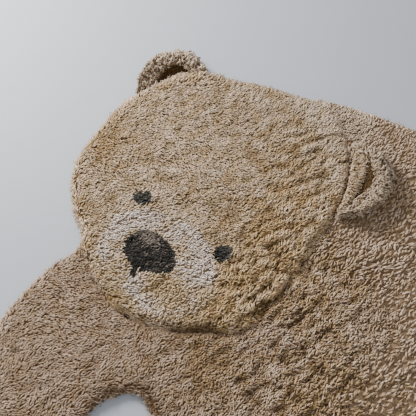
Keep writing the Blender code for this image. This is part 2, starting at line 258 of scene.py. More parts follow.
def distance_inside(points, ring):
    """Distance from each point to a closed ring, negative outside it."""
    points = np.asarray(points, float)
    nearest = np.full(len(points), np.inf)
    within = np.zeros(len(points), bool)
    for a, b in zip(ring, np.roll(ring, -1, axis=0)):
        edge = b - a
        share = np.clip(((points - a) @ edge) / (edge @ edge), 0.0, 1.0)
        nearest = np.minimum(nearest, np.linalg.norm(points - a - share[:, None] * edge, axis=1))
        crosses = (a[1] > points[:, 1]) != (b[1] > points[:, 1])
        if crosses.any():
            at = a[0] + (points[:, 1] - a[1]) / (b[1] - a[1] or 1.0) * edge[0]
            within ^= crosses & (points[:, 0] < at)
    return np.where(within, nearest, -nearest)


outline = pattern_line(OUTLINE, 320)
head_line = pattern_line(HEAD, 180)
patches = {
    "muzzle": pattern_line(MUZZLE, 60),
    "nose": pattern_line(NOSE, 30),
    "mouth": pattern_line(MOUTH, 14),
    "left_eye": pattern_line(LEFT_EYE, 16),
    "right_eye": pattern_line(RIGHT_EYE, 16),
}
print("outline:", len(outline), "points;", "patches:", {k: len(v) for k, v in patches.items()})

# %% [markdown]
# The curls are about a centimetre long and lie down in the pile. What the solid shows as its
# top is the level of their tips, so the backing they grow from is set lower: the height of the
# solid is read by a ray dropped on it, and `SINK` is taken off. The backing ends short of the
# outline by `RIM_INSET`, because the curls at the rim stand out over the floor. A rug cut by
# hand isn't even there, so `DRAWN_IN` notes where the edge lies farther in or out than that,
# and `RAISED_EDGE` where it stands fuller.

# %% Heights read from the solid
SINK = 0.0048  # metres between the tips of the pile and the backing
RIM_INSET = 0.0040  # and between the solid's outline and the backing's rim
LEVEL_FROM = 0.032  # this far inside the outline the solid has its full height
ROUNDED = 0.020  # the backing's shoulder is this wide
EDGE_SHARE = 0.66  # its height at the rim, as a share of the full height
LOWEST_BACKING = 0.0035
DRAWN_IN = (
    # x, y on the face, radius, metres inwards
    (0.031, 0.405, 0.050, 0.0070), (-0.290, 0.140, 0.040, -0.0035),
)  # fmt: skip
RAISED_EDGE = (
    # x, y on the face, radius, amount
    (-0.215, 0.300, 0.048, 1.3), (-0.080, 0.380, 0.080, 0.45), (0.150, 0.430, 0.060, 0.80),
)  # fmt: skip

rug_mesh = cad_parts["rug"].data
rug_tree = BVHTree.FromPolygons(
    [v.co for v in rug_mesh.vertices], [tuple(p.vertices) for p in rug_mesh.polygons]
)


def solid_height(x, y):
    """Height of the solid's top over a place, or 0 beside it."""
    hit = rug_tree.ray_cast(Vector((x, y, 0.3)), Vector((0.0, 0.0, -1.0)))[0]
    return hit.z if hit else 0.0


def spots(places, table):
    """A value for each place on the rug: soft round spots, given on the face, added up."""
    total = np.zeros(len(places))
    for x, y, radius, amount in table:
        total += amount * np.exp(-np.sum((places - (FACE.x + x, FACE.y + y)) ** 2, axis=1) / radius**2)
    return total


def backing_heights(points):
    """Height of the backing at places on the rug, rounded down towards the rim."""
    normals = outward(outline)
    depths = distance_inside(points, outline)
    edge_shares = EDGE_SHARE + (1.0 - EDGE_SHARE) * np.clip(spots(points, RAISED_EDGE), 0.0, 1.0)
    insets = RIM_INSET + spots(points, DRAWN_IN)
    heights = []
    for point, depth, share, inset in zip(points, depths, edge_shares, insets):
        inner = point
        if depth < LEVEL_FROM:
            nearest = np.argmin(np.sum((outline - point) ** 2, axis=1))
            inner = point - normals[nearest] * (LEVEL_FROM - depth)
        full = max(solid_height(*inner) - SINK, LOWEST_BACKING)
        into = min(max((depth - inset) / ROUNDED, 0.0), 1.0)
        heights.append(full * (share + (1.0 - share) * math.sin(into * math.pi / 2)))
    return heights


face_height = solid_height(FACE.x, FACE.y)
print("pile height between the eyes:", round(face_height, 4))

# %% [markdown]
# The pile isn't even. Use has pressed it into ridges that all run one way, from the paws up to
# the right, strongest under the right eye and on the belly, and it swells in soft lumps. Here
# and there it parts along a short line and shows a dark gap. All this is one relief, added to
# the backing: noises stretched along the ridges, and the gaps as notes of where they run.

# %% Ridges, lumps and gaps
RIDGE_HEADING = 76.0  # degrees; the ridges run this way
RIDGE_SIZE = (0.032, 0.0130)  # metres along a ridge and across it
RIDGE_HEIGHT, LUMP_HEIGHT = 0.0050, 0.0026
RIDGED = (
    # x, y on the face, radius, amount
    (0.175, -0.060, 0.075, 0.80), (0.120, 0.270, 0.080, 0.30), (0.190, 0.080, 0.080, 0.60),
    (0.100, 0.030, 0.060, 0.20), (0.090, -0.060, 0.035, -0.60), (0.260, 0.040, 0.090, 0.45),
    (0.015, -0.135, 0.045, 0.35), (0.260, -0.180, 0.090, 0.35), (0.400, -0.120, 0.110, 0.50),
    (0.150, -0.270, 0.060, 0.15), (0.600, 0.000, 0.250, 0.40), (0.160, 0.300, 0.090, 0.30),
    (-0.150, 0.290, 0.060, 0.20),
)  # fmt: skip
GAP_STEP, GAP_WIDTH, GAP_DEPTH = 0.0045, 0.0030, 0.0045
GAPS = (
    # places on the face that a gap runs through
    ((0.240, 0.006), (0.233, -0.023), (0.221, -0.054), (0.209, -0.082)),
    ((0.301, -0.013), (0.295, -0.030), (0.277, -0.054)),
    ((0.002, -0.213), (0.030, -0.212)),
    ((-0.072, -0.190), (-0.052, -0.200), (-0.033, -0.205)),
    ((0.330, -0.063), (0.345, -0.073)),
    ((0.337, -0.148), (0.336, -0.169)),
    ((0.375, -0.103), (0.365, -0.126)),
    ((0.357, -0.004), (0.346, -0.038)),
    ((0.228, -0.025), (0.209, -0.053)),
    ((0.211, 0.058), (0.203, 0.027)),
    ((0.178, -0.051), (0.164, -0.078)),
)


def stepped(marks):
    """Points a short step apart along an open line on the face, in the rug's frame."""
    line = []
    for start, end in zip(marks, marks[1:]):
        start, end = FACE + Vector(start), FACE + Vector(end)
        steps = max(round((end - start).length / GAP_STEP), 1)
        line += [start.lerp(end, k / steps) for k in range(steps)]
    return np.array([tuple(p) for p in [*line, FACE + Vector(marks[-1])]])


def noise_at(places, along, across, layer):
    """Smooth noise from -1 to 1 at each place, drawn out along the ridges."""
    turn = math.radians(RIDGE_HEADING)
    way = np.array([math.cos(turn), math.sin(turn)])
    side = np.array([-way[1], way[0]])
    return np.array([noise.noise((p @ way / along, p @ side / across, layer)) for p in places])


gap_lines = [stepped(marks) for marks in GAPS]
gap_points = np.concatenate(gap_lines)


def from_gap(places):
    """Vector from the nearest point of a gap to each place."""
    nearest = [np.argmin(np.sum((gap_points - p) ** 2, axis=1)) for p in places]
    return places - gap_points[nearest]


def relief_at(places):
    """Ridges, lumps and gaps in metres; they fade out before the rim."""
    ridges = np.clip(2.4 * noise_at(places, *RIDGE_SIZE, 3.0), -1.0, 1.0)
    lumps = noise_at(places, 0.030, 0.026, 7.0) + 0.6 * noise_at(places, 0.015, 0.012, 11.0)
    amount = np.clip(0.15 + spots(places, RIDGED), 0.0, 1.1)
    gaps = np.exp(-np.sum(from_gap(places) ** 2, axis=1) / GAP_WIDTH**2)
    fade = np.clip((distance_inside(places, outline) - 0.020) / 0.02, 0.0, 1.0)
    return fade * (RIDGE_HEIGHT * amount * ridges + LUMP_HEIGHT * lumps - GAP_DEPTH * gaps)


print("gaps:", len(gap_lines), "with", len(gap_points), "points")

# %% [markdown]
# The backing is one closed shell. Its underside is flat, its rim rises in three rings, and
# its top is a mesh of triangles in which the pattern lines are kept as edges. So each triangle
# belongs to one yarn only: body, head, muzzle, nose, mouth line or an eye. A Delaunay fill
# with fixed edges does this in one call and needs no clean-up by hand.

# %% The backing's plan
SPACING = 0.0064  # metres between the points of the backing on head, belly and foreleg
WIDE_SPACING = 0.0100  # and on the plain rump
WIDE_FROM = 0.40  # the rump starts this far right of the face's middle
RINGS = (
    # inset from the rim, share of the height
    (0.0015, 0.0),
    (0.0000, 0.30),
    (0.0012, 0.80),
)
TOP_INSET = 0.0050
UNDERSIDE = 0.0006  # the backing cloth just clears the floor

rim_normals = outward(outline)
rim = outline - rim_normals * (RIM_INSET + spots(outline, DRAWN_IN))[:, None]
top_ring = rim - rim_normals * TOP_INSET

plan_points = [Vector(p) for p in top_ring]
plan_edges = []
for line in (head_line, *patches.values()):
    kept = np.flatnonzero(distance_inside(line, top_ring) > 0.003)
    number = {i: len(plan_points) + k for k, i in enumerate(kept)}
    plan_points += [Vector(line[i]) for i in kept]
    after = [(i + 1) % len(line) for i in kept]
    plan_edges += [(number[i], number[j]) for i, j in zip(kept, after) if j in number]
for line in gap_lines:
    first = len(plan_points)
    plan_points += [Vector(p) for p in line]
    plan_edges += [(first + k, first + k + 1) for k in range(len(line) - 1)]
fixed = np.array([tuple(p) for p in plan_points])
low, high = top_ring.min(axis=0), top_ring.max(axis=0)


def lattice_points(spacing, left, right):
    """Points of a triangular lattice between two x, inside the top and clear of its lines."""
    rows = np.arange(low[1], high[1], spacing * math.sqrt(0.75))
    grid = [
        (x, y)
        for row, y in enumerate(rows)
        for x in np.arange(left + spacing / 2 * (row % 2), right, spacing)
    ]
    grid = np.array(grid)
    grid = grid[distance_inside(grid, top_ring) > 0.6 * spacing]
    clear = [np.min(np.sum((fixed - p) ** 2, axis=1)) > (0.6 * spacing) ** 2 for p in grid]
    return grid[clear]


wide_from = FACE.x + WIDE_FROM
lattice = np.concatenate(
    [lattice_points(SPACING, low[0], wide_from), lattice_points(WIDE_SPACING, wide_from + 0.008, high[0])]
)
plan_points += [Vector(p) for p in lattice]
flat, _, triangles, sources, _, _ = delaunay_2d_cdt(
    plan_points, plan_edges, [list(range(len(top_ring)))], 1, 1e-6
)
print("plan of the top:", len(flat), "points,", len(triangles), "triangles")

# %% [markdown]
# The plan is lifted to the backing's height, and the rim's rings and the underside close the
# shell. Every face is turned to point outwards while it is made, so nothing has to be
# recalculated later.

# %% The backing shell
count = len(top_ring)
plan = np.array([tuple(p) for p in flat])
relief = relief_at(plan)
tops = np.maximum(np.array(backing_heights(plan)) + relief, LOWEST_BACKING)
vertices = [(x, y, z) for (x, y), z in zip(plan, tops)]
on_ring = {source: k for k, found in enumerate(sources) for source in found if source < count}
top_edge = [on_ring[i] for i in range(count)]
edge_heights = [vertices[k][2] for k in top_edge]


def turned_up(face):
    a, b, c = (flat[i] for i in face)
    return list(face) if (b - a).cross(c - a) > 0 else list(face[::-1])


faces = [turned_up(face) for face in triangles]
top_count = len(faces)
rings = []
for inset, share in RINGS:
    ring = rim - rim_normals * inset
    rings.append(list(range(len(vertices), len(vertices) + count)))
    for (x, y), height in zip(ring, edge_heights):
        vertices.append((x, y, UNDERSIDE + (height - UNDERSIDE) * share))
for lower, upper in zip(rings, [*rings[1:], top_edge]):
    for i in range(count):
        j = (i + 1) % count
        faces.append([lower[i], lower[j], upper[j], upper[i]])
wall_count = len(faces) - top_count
bottom_plan = [Vector(vertices[k][:2]) for k in rings[0]]
_, _, bottom, bottom_source, _, _ = delaunay_2d_cdt(bottom_plan, [], [list(range(count))], 1, 1e-6)
for face in bottom:
    a, b, c = (bottom_plan[bottom_source[k][0]] for k in face)
    corners = [rings[0][bottom_source[k][0]] for k in face]
    faces.append(corners if (b - a).cross(c - a) < 0 else corners[::-1])
vertices = np.array(vertices)
relief = np.concatenate([relief, np.zeros(len(vertices) - len(relief))])
print("backing shell:", len(vertices), "points,", len(faces), "faces, wall", wall_count)
print("relief from", round(relief.min() * 1000, 1), "to", round(relief.max() * 1000, 1), "mm")

# %% [markdown]
# Each face above the floor gets its region from the pattern line that holds its middle. The
# regions are tried from the largest to the smallest, as the eyes and the nose lie inside the
# head. Behind the crown the head's yarn runs on past the groove in a ragged patch.

# %% Which yarn grows where
growing = faces[: top_count + wall_count]
middles = np.array([vertices[face].mean(axis=0)[:2] for face in growing])
region = np.full(len(growing), "body", dtype=object)
region[distance_inside(middles, head_line) > 0] = "head"
ragged = 0.25 * noise_at(middles, 0.030, 0.030, 21.0)
past_groove = spots(middles, ((0.160, 0.425, 0.060, 1.0),)) + ragged > 0.5
region[(region == "body") & past_groove] = "head"
for name, line in patches.items():
    region[distance_inside(middles, line) > 0] = name
region = region.astype(str)
x_of, y_of = (middles - np.array(FACE)).T
for name in sorted(set(region)):
    print(name, int(np.sum(region == name)), "faces")

# %% [markdown]
# The pile is combed. Most of it lies along the ridges; on the forehead and the left cheek it
# turns to the right, which `NAP` notes as a few soft spots, with a slow wobble added. At the rim
# it falls outwards, on the head's edge it hangs over the groove, and beside a gap it leans away.

# %% How the pile lies
NAP = (
    # x, y on the face, radius, heading in degrees
    (-0.192, 0.034, 0.075, 10), (-0.117, 0.132, 0.085, -8), (-0.015, 0.175, 0.085, -4),
    (-0.110, -0.060, 0.050, 40), (0.060, 0.080, 0.060, 14), (-0.080, -0.240, 0.080, 20),
    (-0.140, 0.270, 0.060, 30),
    (0.050, -0.070, 0.045, 40), (0.000, 0.330, 0.060, 48), (0.104, 0.288, 0.080, 76),
    (0.170, 0.200, 0.090, 76), (0.190, 0.060, 0.080, 78),
)  # fmt: skip
WOBBLE = 34.0  # degrees
WOBBLE_LENGTH = 0.040  # metres from one swing to the next
RIDGE_SHARE = 0.28  # how much the ridges' heading counts beside the spots of NAP
RIM_PUSH, GROOVE_PUSH, GAP_PUSH = 1.6, 1.1, 1.5  # how strongly each of these turns the pile
RIM_FALL, GROOVE_FALL, GAP_FALL = 0.014, 0.008, 0.005  # metres over which each of them acts

on_rug = vertices[:, :2]
wobble = np.array([noise.noise(Vector(v) / WOBBLE_LENGTH) for v in vertices])
shares = np.stack([np.exp(-np.sum((on_rug - (FACE.x + x, FACE.y + y)) ** 2, axis=1) / radius**2)
                   for x, y, radius, _ in NAP])  # fmt: skip
headings = np.radians([row[3] for row in NAP])
base = math.radians(RIDGE_HEADING)
nap = np.stack([turn(base) * RIDGE_SHARE + turn(headings) @ shares for turn in (np.cos, np.sin)], axis=1)
angle = np.arctan2(nap[:, 1], nap[:, 0]) + math.radians(WOBBLE) * wobble
nap = np.stack([np.cos(angle), np.sin(angle)], axis=1)

from_rim = distance_inside(on_rug, outline)
in_head = distance_inside(on_rug, head_line)
from_gaps = from_gap(on_rug)
gap_distance = np.linalg.norm(from_gaps, axis=1)


def away_from(ring):
    """Unit vectors that point out of a closed line, at the line's point nearest each vertex."""
    normals = outward(ring)
    return normals[[np.argmin(np.sum((ring - p) ** 2, axis=1)) for p in on_rug]]


def falling(distance, width):
    """1 where a distance is nothing, and close to 0 at twice the width."""
    return np.exp(-((np.maximum(distance, 0.0) / width) ** 2))


rim_push = RIM_PUSH + spots(on_rug, ((-0.215, 0.300, 0.045, 3.0),))
nap += (rim_push * falling(from_rim, RIM_FALL))[:, None] * away_from(outline)
groove_push = GROOVE_PUSH * (from_rim > 0.02) * (1.0 - spots(on_rug, ((0.180, 0.380, 0.080, 1.0),)))
nap += (groove_push * falling(np.abs(in_head), GROOVE_FALL))[:, None] * away_from(head_line)
gap_push = (GAP_PUSH * falling(gap_distance, GAP_FALL))[:, None]
nap += gap_push * from_gaps / np.maximum(gap_distance, 1e-4)[:, None]
nap /= np.linalg.norm(nap, axis=1, keepdims=True)
nap = np.concatenate([nap, np.zeros((len(nap), 1))], axis=1)
print("pile combed at", len(nap), "points")

# %% [markdown]
# Four more values go with each point. `reach` scales the curls: large ones under the right eye,
# on the belly and where the edge stands full, small ones on the forehead, and a short, smooth
# band outside the groove. `density` thins the pile where its curls are large and along a gap.
# `sunk` says how deep a place lies in shade, and the yarn paints that shade into its colour: the valleys and
# gaps, the wall of the rim, the edge of the arch between the legs and two places in the groove. `tone` picks
# lighter or darker curls in soft patches. It also paints light: the curls are lighter on the tops of the
# ridges and in a highlight behind the top right of the crown.

# %% How large, close, deep and light the curls are
SMOOTH_BAND = 0.040  # the pile is shorter this far outside the groove
HEAD_REACH, BODY_REACH, BAND_DROP, RIM_GAIN = 0.84, 0.70, 0.10, 0.30
THIN_RATE, THINNEST = 0.9, 0.45  # how fast the pile thins as its curls grow, and how far at most
RUMP_FROM, RUMP_BLEND, RUMP_THINNED = 0.34, 0.12, 0.20
DEEP = 0.0045  # metres below the even pile at which a valley lies in full shade
WALL_SHADE = (0.9, 0.8, 0.35)  # for the three rings of the rim, from the lowest up

reach = np.where(in_head > 0, HEAD_REACH, BODY_REACH - BAND_DROP * falling(-in_head, SMOOTH_BAND))
reach += spots(on_rug, (
    (0.170, -0.050, 0.080, 0.30), (0.180, 0.090, 0.090, 0.18), (0.270, 0.040, 0.080, 0.25),
    (0.420, -0.100, 0.110, 0.30), (-0.230, 0.210, 0.080, 0.10), (0.620, 0.000, 0.230, 0.45),
    (0.360, 0.300, 0.160, 0.45), (-0.195, 0.322, 0.028, 0.85), (-0.238, 0.267, 0.030, 0.50),
    (-0.150, 0.335, 0.035, 0.35),
))  # fmt: skip
reach += RIM_GAIN * falling(from_rim, RIM_FALL)
density = 1.0 - np.clip((reach - np.where(in_head > 0, 0.90, 0.75)) * THIN_RATE, 0.0, THINNEST)
density -= np.clip((on_rug[:, 0] - FACE.x - RUMP_FROM) / RUMP_BLEND, 0, 1) * RUMP_THINNED
density *= 1.0 - 0.8 * falling(gap_distance, 0.0018)
density = np.maximum(density, falling(from_rim, 0.010))
# painted shade: sunk darkens the yarn in the valleys, on the rim's wall, at the edge of the arch and in two
# places of the groove
sunk = np.clip(-relief / DEEP, 0.0, 1.0)
sunk *= 1.0 - 0.40 * falling(np.abs(in_head), 0.012)  # the groove is open to the light
sunk[len(plan):] = np.repeat(WALL_SHADE, count)
sunk += falling(from_rim - RIM_INSET, 0.020) * spots(on_rug, (
    (0.050, -0.420, 0.050, 0.70), (0.075, -0.345, 0.040, 1.00), (0.130, -0.300, 0.040, 1.00),
    (0.180, -0.325, 0.040, 0.70),
))  # fmt: skip
sunk += falling(np.abs(in_head), 0.011) * spots(on_rug, (
    (0.126, -0.170, 0.045, 0.90), (0.161, -0.140, 0.030, 0.60),
))  # fmt: skip
sunk = np.clip(sunk, 0.0, 1.0)
# painted light: the relief term makes the curls on the tops of the ridges lighter
tone = 0.5 + 0.9 * noise_at(on_rug, 0.034, 0.024, 15.0) + np.clip(relief, -0.004, 0.004) * 70.0
# the first and the sixth spot, behind the top right of the crown, paint a highlight
tone += spots(on_rug, (
    (0.150, 0.430, 0.060, 0.45), (0.060, 0.400, 0.050, 0.25), (-0.265, 0.040, 0.050, -0.25),
    (0.185, -0.195, 0.070, -0.40), (0.400, -0.120, 0.090, -0.20), (0.200, 0.420, 0.090, 0.40),
    (-0.108, 0.000, 0.020, 0.60), (0.050, -0.130, 0.025, -0.35), (-0.035, -0.196, 0.020, -0.30),
    (0.155, -0.100, 0.030, -0.40),
))  # fmt: skip
tone = np.clip(tone, 0.0, 1.0)
print("reach from", round(reach.min(), 2), "to", round(reach.max(), 2))

# %% [markdown]
# One curl is a piece of twisted yarn: it rises from the backing, bends over and lies on its
# neighbours, with a wave in it. Its tube has three sides and a closed tip, ten to twenty-two
# faces in all, because there are tens of thousands of them. A few different curls are enough,
# as each is turned, sized and leant on its own later. Each point also keeps how far along the
# yarn it is, so that the colour can darken into the pile.

# %% Curls of yarn
CURL_LENGTH = 0.0118  # metres
YARN_RADIUS = 0.00146
CURLS = (
    # how many kinds, stations along the yarn, its thickness there, least and most wave in degrees
    (3, (0.0, 0.55, 1.0), (0.26, 0.22), 10, 40),  # fine loose ends
    (5, (0.0, 0.52, 1.0), (0.80, 1.0), 5, 25),  # plain tufts
    (6, (0.0, 0.46, 0.92, 1.0), (0.70, 1.0, 0.85), 12, 45),
    (4, (0.0, 0.34, 0.64, 0.93, 1.0), (0.70, 1.0, 1.0, 0.85), 30, 75),
)
FIRST_TUFT, FIRST_SHORT, CURL_KINDS = 3, 8, 18  # numbers of the first plain and waved kinds

curls = bpy.data.collections.new("curls of yarn")


def curl_line(rng, stations, wave, upright):
    """Points along a curl that rises, bends over towards +X and waves."""
    phase = rng.uniform(0, math.tau)
    point, line = Vector(), [Vector()]
    for start, end in zip(stations, stations[1:]):
        middle = (start + end) / 2
        lean = (20 + 150 * middle if middle < 0.4 else 82 + 28 * middle) * (1 - 0.3 * upright)
        lean = math.radians(lean + rng.uniform(-12, 12))
        side = math.radians(wave * math.sin(phase + 6.5 * start))
        step = Vector((math.sin(lean) * math.cos(side), math.sin(lean) * math.sin(side), math.cos(lean)))
        point = point + step * (end - start) * CURL_LENGTH
        line.append(point)
    return line


def make_curl(number, stations, thickness, least, most):
    rng = random.Random(100 + number)
    line = curl_line(rng, stations, rng.uniform(least, most), upright=(number % 4 == 3))
    points, along = [], []
    across = Vector((0, 1, 0))
    for k, (centre, thick) in enumerate(zip(line, thickness)):
        forward = (line[k + 1] - line[max(k - 1, 0)]).normalized()
        across = (across - forward * across.dot(forward)).normalized()
        other = forward.cross(across)
        for side in range(3):
            turn = math.tau * side / 3
            spoke = across * math.cos(turn) + other * math.sin(turn)
            points.append(centre + spoke * YARN_RADIUS * thick)
            along.append(stations[k])
    tip = len(points)
    points.append(line[-1])
    along.append(1.0)
    tube = [(2, 1, 0)]
    for k in range(0, tip - 3, 3):
        for a, b in ((k, k + 1), (k + 1, k + 2), (k + 2, k)):
            tube += [(a, b, b + 3), (a, b + 3, a + 3)]
    tube += [(tip - 3, tip - 2, tip), (tip - 2, tip - 1, tip), (tip - 1, tip - 3, tip)]
    obj = make_object(f"curl_{number:02d}", points, tube, shown=False)
    obj.data.shade_smooth()
    along_data = obj.data.attributes.new("along", "FLOAT", "POINT")
    along_data.data.foreach_set("value", along)
    unrolled = obj.data.attributes.new("unrolled", "FLOAT2", "CORNER")
    for loop, item in zip(obj.data.loops, unrolled.data):
        k = loop.vertex_index
        item.vector = (along[k], 0.5 if k == tip else k % 3 / 2)
    curls.objects.link(obj)
    return obj


curl_objects = []
for kinds, *build in CURLS:
    curl_objects += [make_curl(len(curl_objects) + k, *build) for k in range(kinds)]
print(len(curl_objects), "curls,", sorted({len(o.data.polygons) for o in curl_objects}), "faces")

# %% [markdown]
# Geometry Nodes plant the curls. The tree scatters points over a surface with a shortest
# distance between them, so the pile has no bald spots. A cell pattern groups the points into
# clumps: all curls of a clump lean a little to its middle, which opens the dark gaps that a
# tufted pile shows. Each curl is then turned along the nap, sized, and pressed up where it
# would pass through the floor. A random number says which of the two yarns of its patch it
# is, and a few values are stored on it for the material.


# %% The tree that grows pile
CLEAR_OF_FLOOR = 0.0008  # metres; no curl goes lower than this


def build_pile_tree():
    tree = bpy.data.node_groups.new("grow pile", "GeometryNodeTree")
    face = tree.interface
    face.new_socket("Geometry", in_out="INPUT", socket_type="NodeSocketGeometry")
    for name, kind, value in (
        ("Curls", "NodeSocketCollection", None),
        ("Yarn", "NodeSocketMaterial", None),
        ("Curls per square metre", "NodeSocketFloat", 150000.0),
        ("Shortest distance", "NodeSocketFloat", 0.0020),
        ("Curl size", "NodeSocketFloat", 1.0),
        ("First kind", "NodeSocketInt", FIRST_SHORT - 2),
        ("Last kind", "NodeSocketInt", CURL_KINDS - 2),
        ("Clump size", "NodeSocketFloat", 0.010),
        ("Clump pull", "NodeSocketFloat", 0.30),
        ("Disorder", "NodeSocketFloat", 0.45),
        ("Uprightness", "NodeSocketFloat", 1.0),
        ("Floor", "NodeSocketFloat", CLEAR_OF_FLOOR),
        ("Seed", "NodeSocketInt", 1),
    ):
        socket = face.new_socket(name, in_out="INPUT", socket_type=kind)
        if value is not None:
            socket.default_value = value
    face.new_socket("Geometry", in_out="OUTPUT", socket_type="NodeSocketGeometry")

    def add(kind, links=None, **settings):
        return add_node(tree, kind, links, **settings)

    def maths(operation, *values):
        links = dict(enumerate(values))
        return add("ShaderNodeMath", links, operation=operation).outputs[0]

    def vectors(operation, *values, scale=None):
        links = dict(enumerate(values))
        if scale is not None:
            links["Scale"] = scale
        return add("ShaderNodeVectorMath", links, operation=operation).outputs[0]

    def chance(low, high, seed, kind="FLOAT"):
        """A random number or vector for each curl."""
        first, out = {"FLOAT": (2, 1), "FLOAT_VECTOR": (0, 0), "INT": (4, 2)}[kind]
        links = {first: low, first + 1: high, "Seed": maths("ADD", given["Seed"], float(seed))}
        return add("FunctionNodeRandomValue", links, data_type=kind).outputs[out]

    def noted(name, kind):
        node = add("GeometryNodeInputNamedAttribute", {"Name": name}, data_type=kind)
        return node.outputs["Attribute"]

    given = add("NodeGroupInput").outputs
    scatter = add(
        "GeometryNodeDistributePointsOnFaces",
        {
            "Mesh": given["Geometry"],
            "Distance Min": given["Shortest distance"],
            "Density Max": given["Curls per square metre"],
            "Density Factor": noted("density", "FLOAT"),
            "Seed": given["Seed"],
        },
        distribute_method="POISSON",
    )
    place = add("GeometryNodeInputPosition").outputs[0]
    cell = add(
        "ShaderNodeTexVoronoi",
        {"Vector": place, "Scale": maths("DIVIDE", 1.0, given["Clump size"])},
        voronoi_dimensions="3D",
        feature="F1",
    )
    to_middle = vectors("SUBTRACT", cell.outputs["Position"], place)
    pull = vectors("SCALE", to_middle, scale=maths("DIVIDE", given["Clump pull"], given["Clump size"]))
    cell_turn = vectors("SUBTRACT", cell.outputs["Color"], (0.5, 0.5, 0.5))
    loose = chance((-1.0, -1.0, -0.3), (1.0, 1.0, 0.3), 1, "FLOAT_VECTOR")
    loose = vectors("SCALE", loose, scale=given["Disorder"])
    heading = vectors("ADD", noted("nap", "FLOAT_VECTOR"), pull)
    heading = vectors("ADD", heading, vectors("SCALE", cell_turn, scale=0.5))
    heading = vectors("ADD", heading, loose)
    upright = vectors("SCALE", scatter.outputs["Normal"], scale=given["Uprightness"])
    upright = vectors("ADD", upright, vectors("SCALE", pull, scale=0.5))
    upright = vectors("ADD", upright, vectors("SCALE", loose, scale=0.25))
    turn = add(
        "FunctionNodeAlignRotationToVector", {"Vector": upright}, axis="Z", pivot_axis="AUTO"
    ).outputs[0]
    turn = add(
        "FunctionNodeAlignRotationToVector", {"Rotation": turn, "Vector": heading}, axis="X", pivot_axis="Z"
    ).outputs[0]
    crown = maths("SUBTRACT", 1.08, maths("MULTIPLY", cell.outputs["Distance"], 0.2))
    size = maths("MULTIPLY", maths("MULTIPLY", crown, chance(0.80, 1.18, 2)), given["Curl size"])
    size = maths("MULTIPLY", size, noted("reach", "FLOAT"))

    points = scatter.outputs["Points"]
    cell_shade = add("ShaderNodeSeparateXYZ", {0: cell.outputs["Color"]}).outputs[1]
    shade = maths("ADD", maths("MULTIPLY", chance(0.0, 1.0, 3), 0.42), maths("MULTIPLY", cell_shade, 0.16))
    shade = maths("ADD", shade, maths("MULTIPLY", noted("tone", "FLOAT"), 0.42))
    second = maths("SUBTRACT", noted("second", "FLOAT"), chance(0.0, 0.5, 4))
    second = add("ShaderNodeClamp", {0: maths("ADD", maths("MULTIPLY", second, 2.5), 0.5)}).outputs[0]
    index = add("GeometryNodeInputIndex").outputs[0]
    total = add("GeometryNodeAttributeDomainSize", {0: points}, component="POINTCLOUD").outputs["Point Count"]
    side = maths("CEIL", maths("SQRT", total))
    column, row = maths("MODULO", index, side), maths("FLOOR", maths("DIVIDE", index, side))
    cells = add("ShaderNodeCombineXYZ", {0: column, 1: row})
    for name, kind, value in (
        ("shade", "FLOAT", shade),
        ("strand_yarn", "FLOAT", second),
        ("strand_sunk", "FLOAT", noted("sunk", "FLOAT")),
        ("strand_cell", "FLOAT_VECTOR", cells.outputs[0]),
        ("strand_side", "FLOAT", side),
    ):
        links = {"Geometry": points, "Name": name, "Value": value}
        points = add("GeometryNodeStoreNamedAttribute", links, data_type=kind, domain="POINT").outputs[0]

    kinds = add(
        "GeometryNodeCollectionInfo",
        {"Collection": given["Curls"], "Separate Children": True, "Reset Children": True},
    )
    planted = add(
        "GeometryNodeInstanceOnPoints",
        {
            "Points": points,
            "Instance": kinds.outputs[0],
            "Pick Instance": True,
            "Instance Index": chance(given["First kind"], given["Last kind"], 5, "INT"),
            "Rotation": turn,
            "Scale": size,
        },
    ).outputs[0]
    grown = add("GeometryNodeRealizeInstances", {0: planted}).outputs[0]
    parts = add("ShaderNodeSeparateXYZ", {0: place}).outputs
    above = maths("MAXIMUM", parts[2], given["Floor"])
    lifted = add("ShaderNodeCombineXYZ", {0: parts[0], 1: parts[1], 2: above}).outputs[0]
    grown = add("GeometryNodeSetPosition", {"Geometry": grown, "Position": lifted}).outputs[0]
    inner = vectors("ADD", vectors("SCALE", noted("unrolled", "FLOAT_VECTOR"), scale=0.8), (0.1, 0.1, 0.0))
    spread = vectors("ADD", noted("strand_cell", "FLOAT_VECTOR"), inner)
    spread = vectors("SCALE", spread, scale=maths("DIVIDE", 1.0, noted("strand_side", "FLOAT")))
    grown = add(
        "GeometryNodeStoreNamedAttribute",
        {"Geometry": grown, "Name": "OFBake", "Value": spread},
        data_type="FLOAT2",
        domain="CORNER",
    ).outputs[0]
    dressed = add("GeometryNodeSetMaterial", {"Geometry": grown, "Material": given["Yarn"]}).outputs[0]
    add("NodeGroupOutput", {"Geometry": dressed})
    return tree


pile_tree = build_pile_tree()
print("pile tree:", len(pile_tree.nodes), "nodes")

# %% [markdown]
# The yarn is cotton, loosely twisted and dyed: it has no shine, but its fine standing fibres catch light at
# the edge of each curl, which the sheen stands for. Every patch mixes two yarns, or two lots of one, and
# inside each the single curls differ a little. On the nose the second is a lighter grey that paints a
# highlight, and in the ears' hollows a dark brown that paints their shade. The colour darkens towards the
# roots, a painted shade, and the more so where it is noted as sunk. That paints the shade of valleys, gaps,
# the rim's wall and the arch. Fibres are finer than a pixel here, so a fine bump breaks up the light instead.


# %% Yarn materials
# painted shade: a curl's colour darkens towards its root, and the more so where it is sunk
ROOTS_END = 0.45  # a curl has its full colour from this share of its length on
SHADE_IN_GAPS = 0.85  # and loses this share of it where it is fully sunk


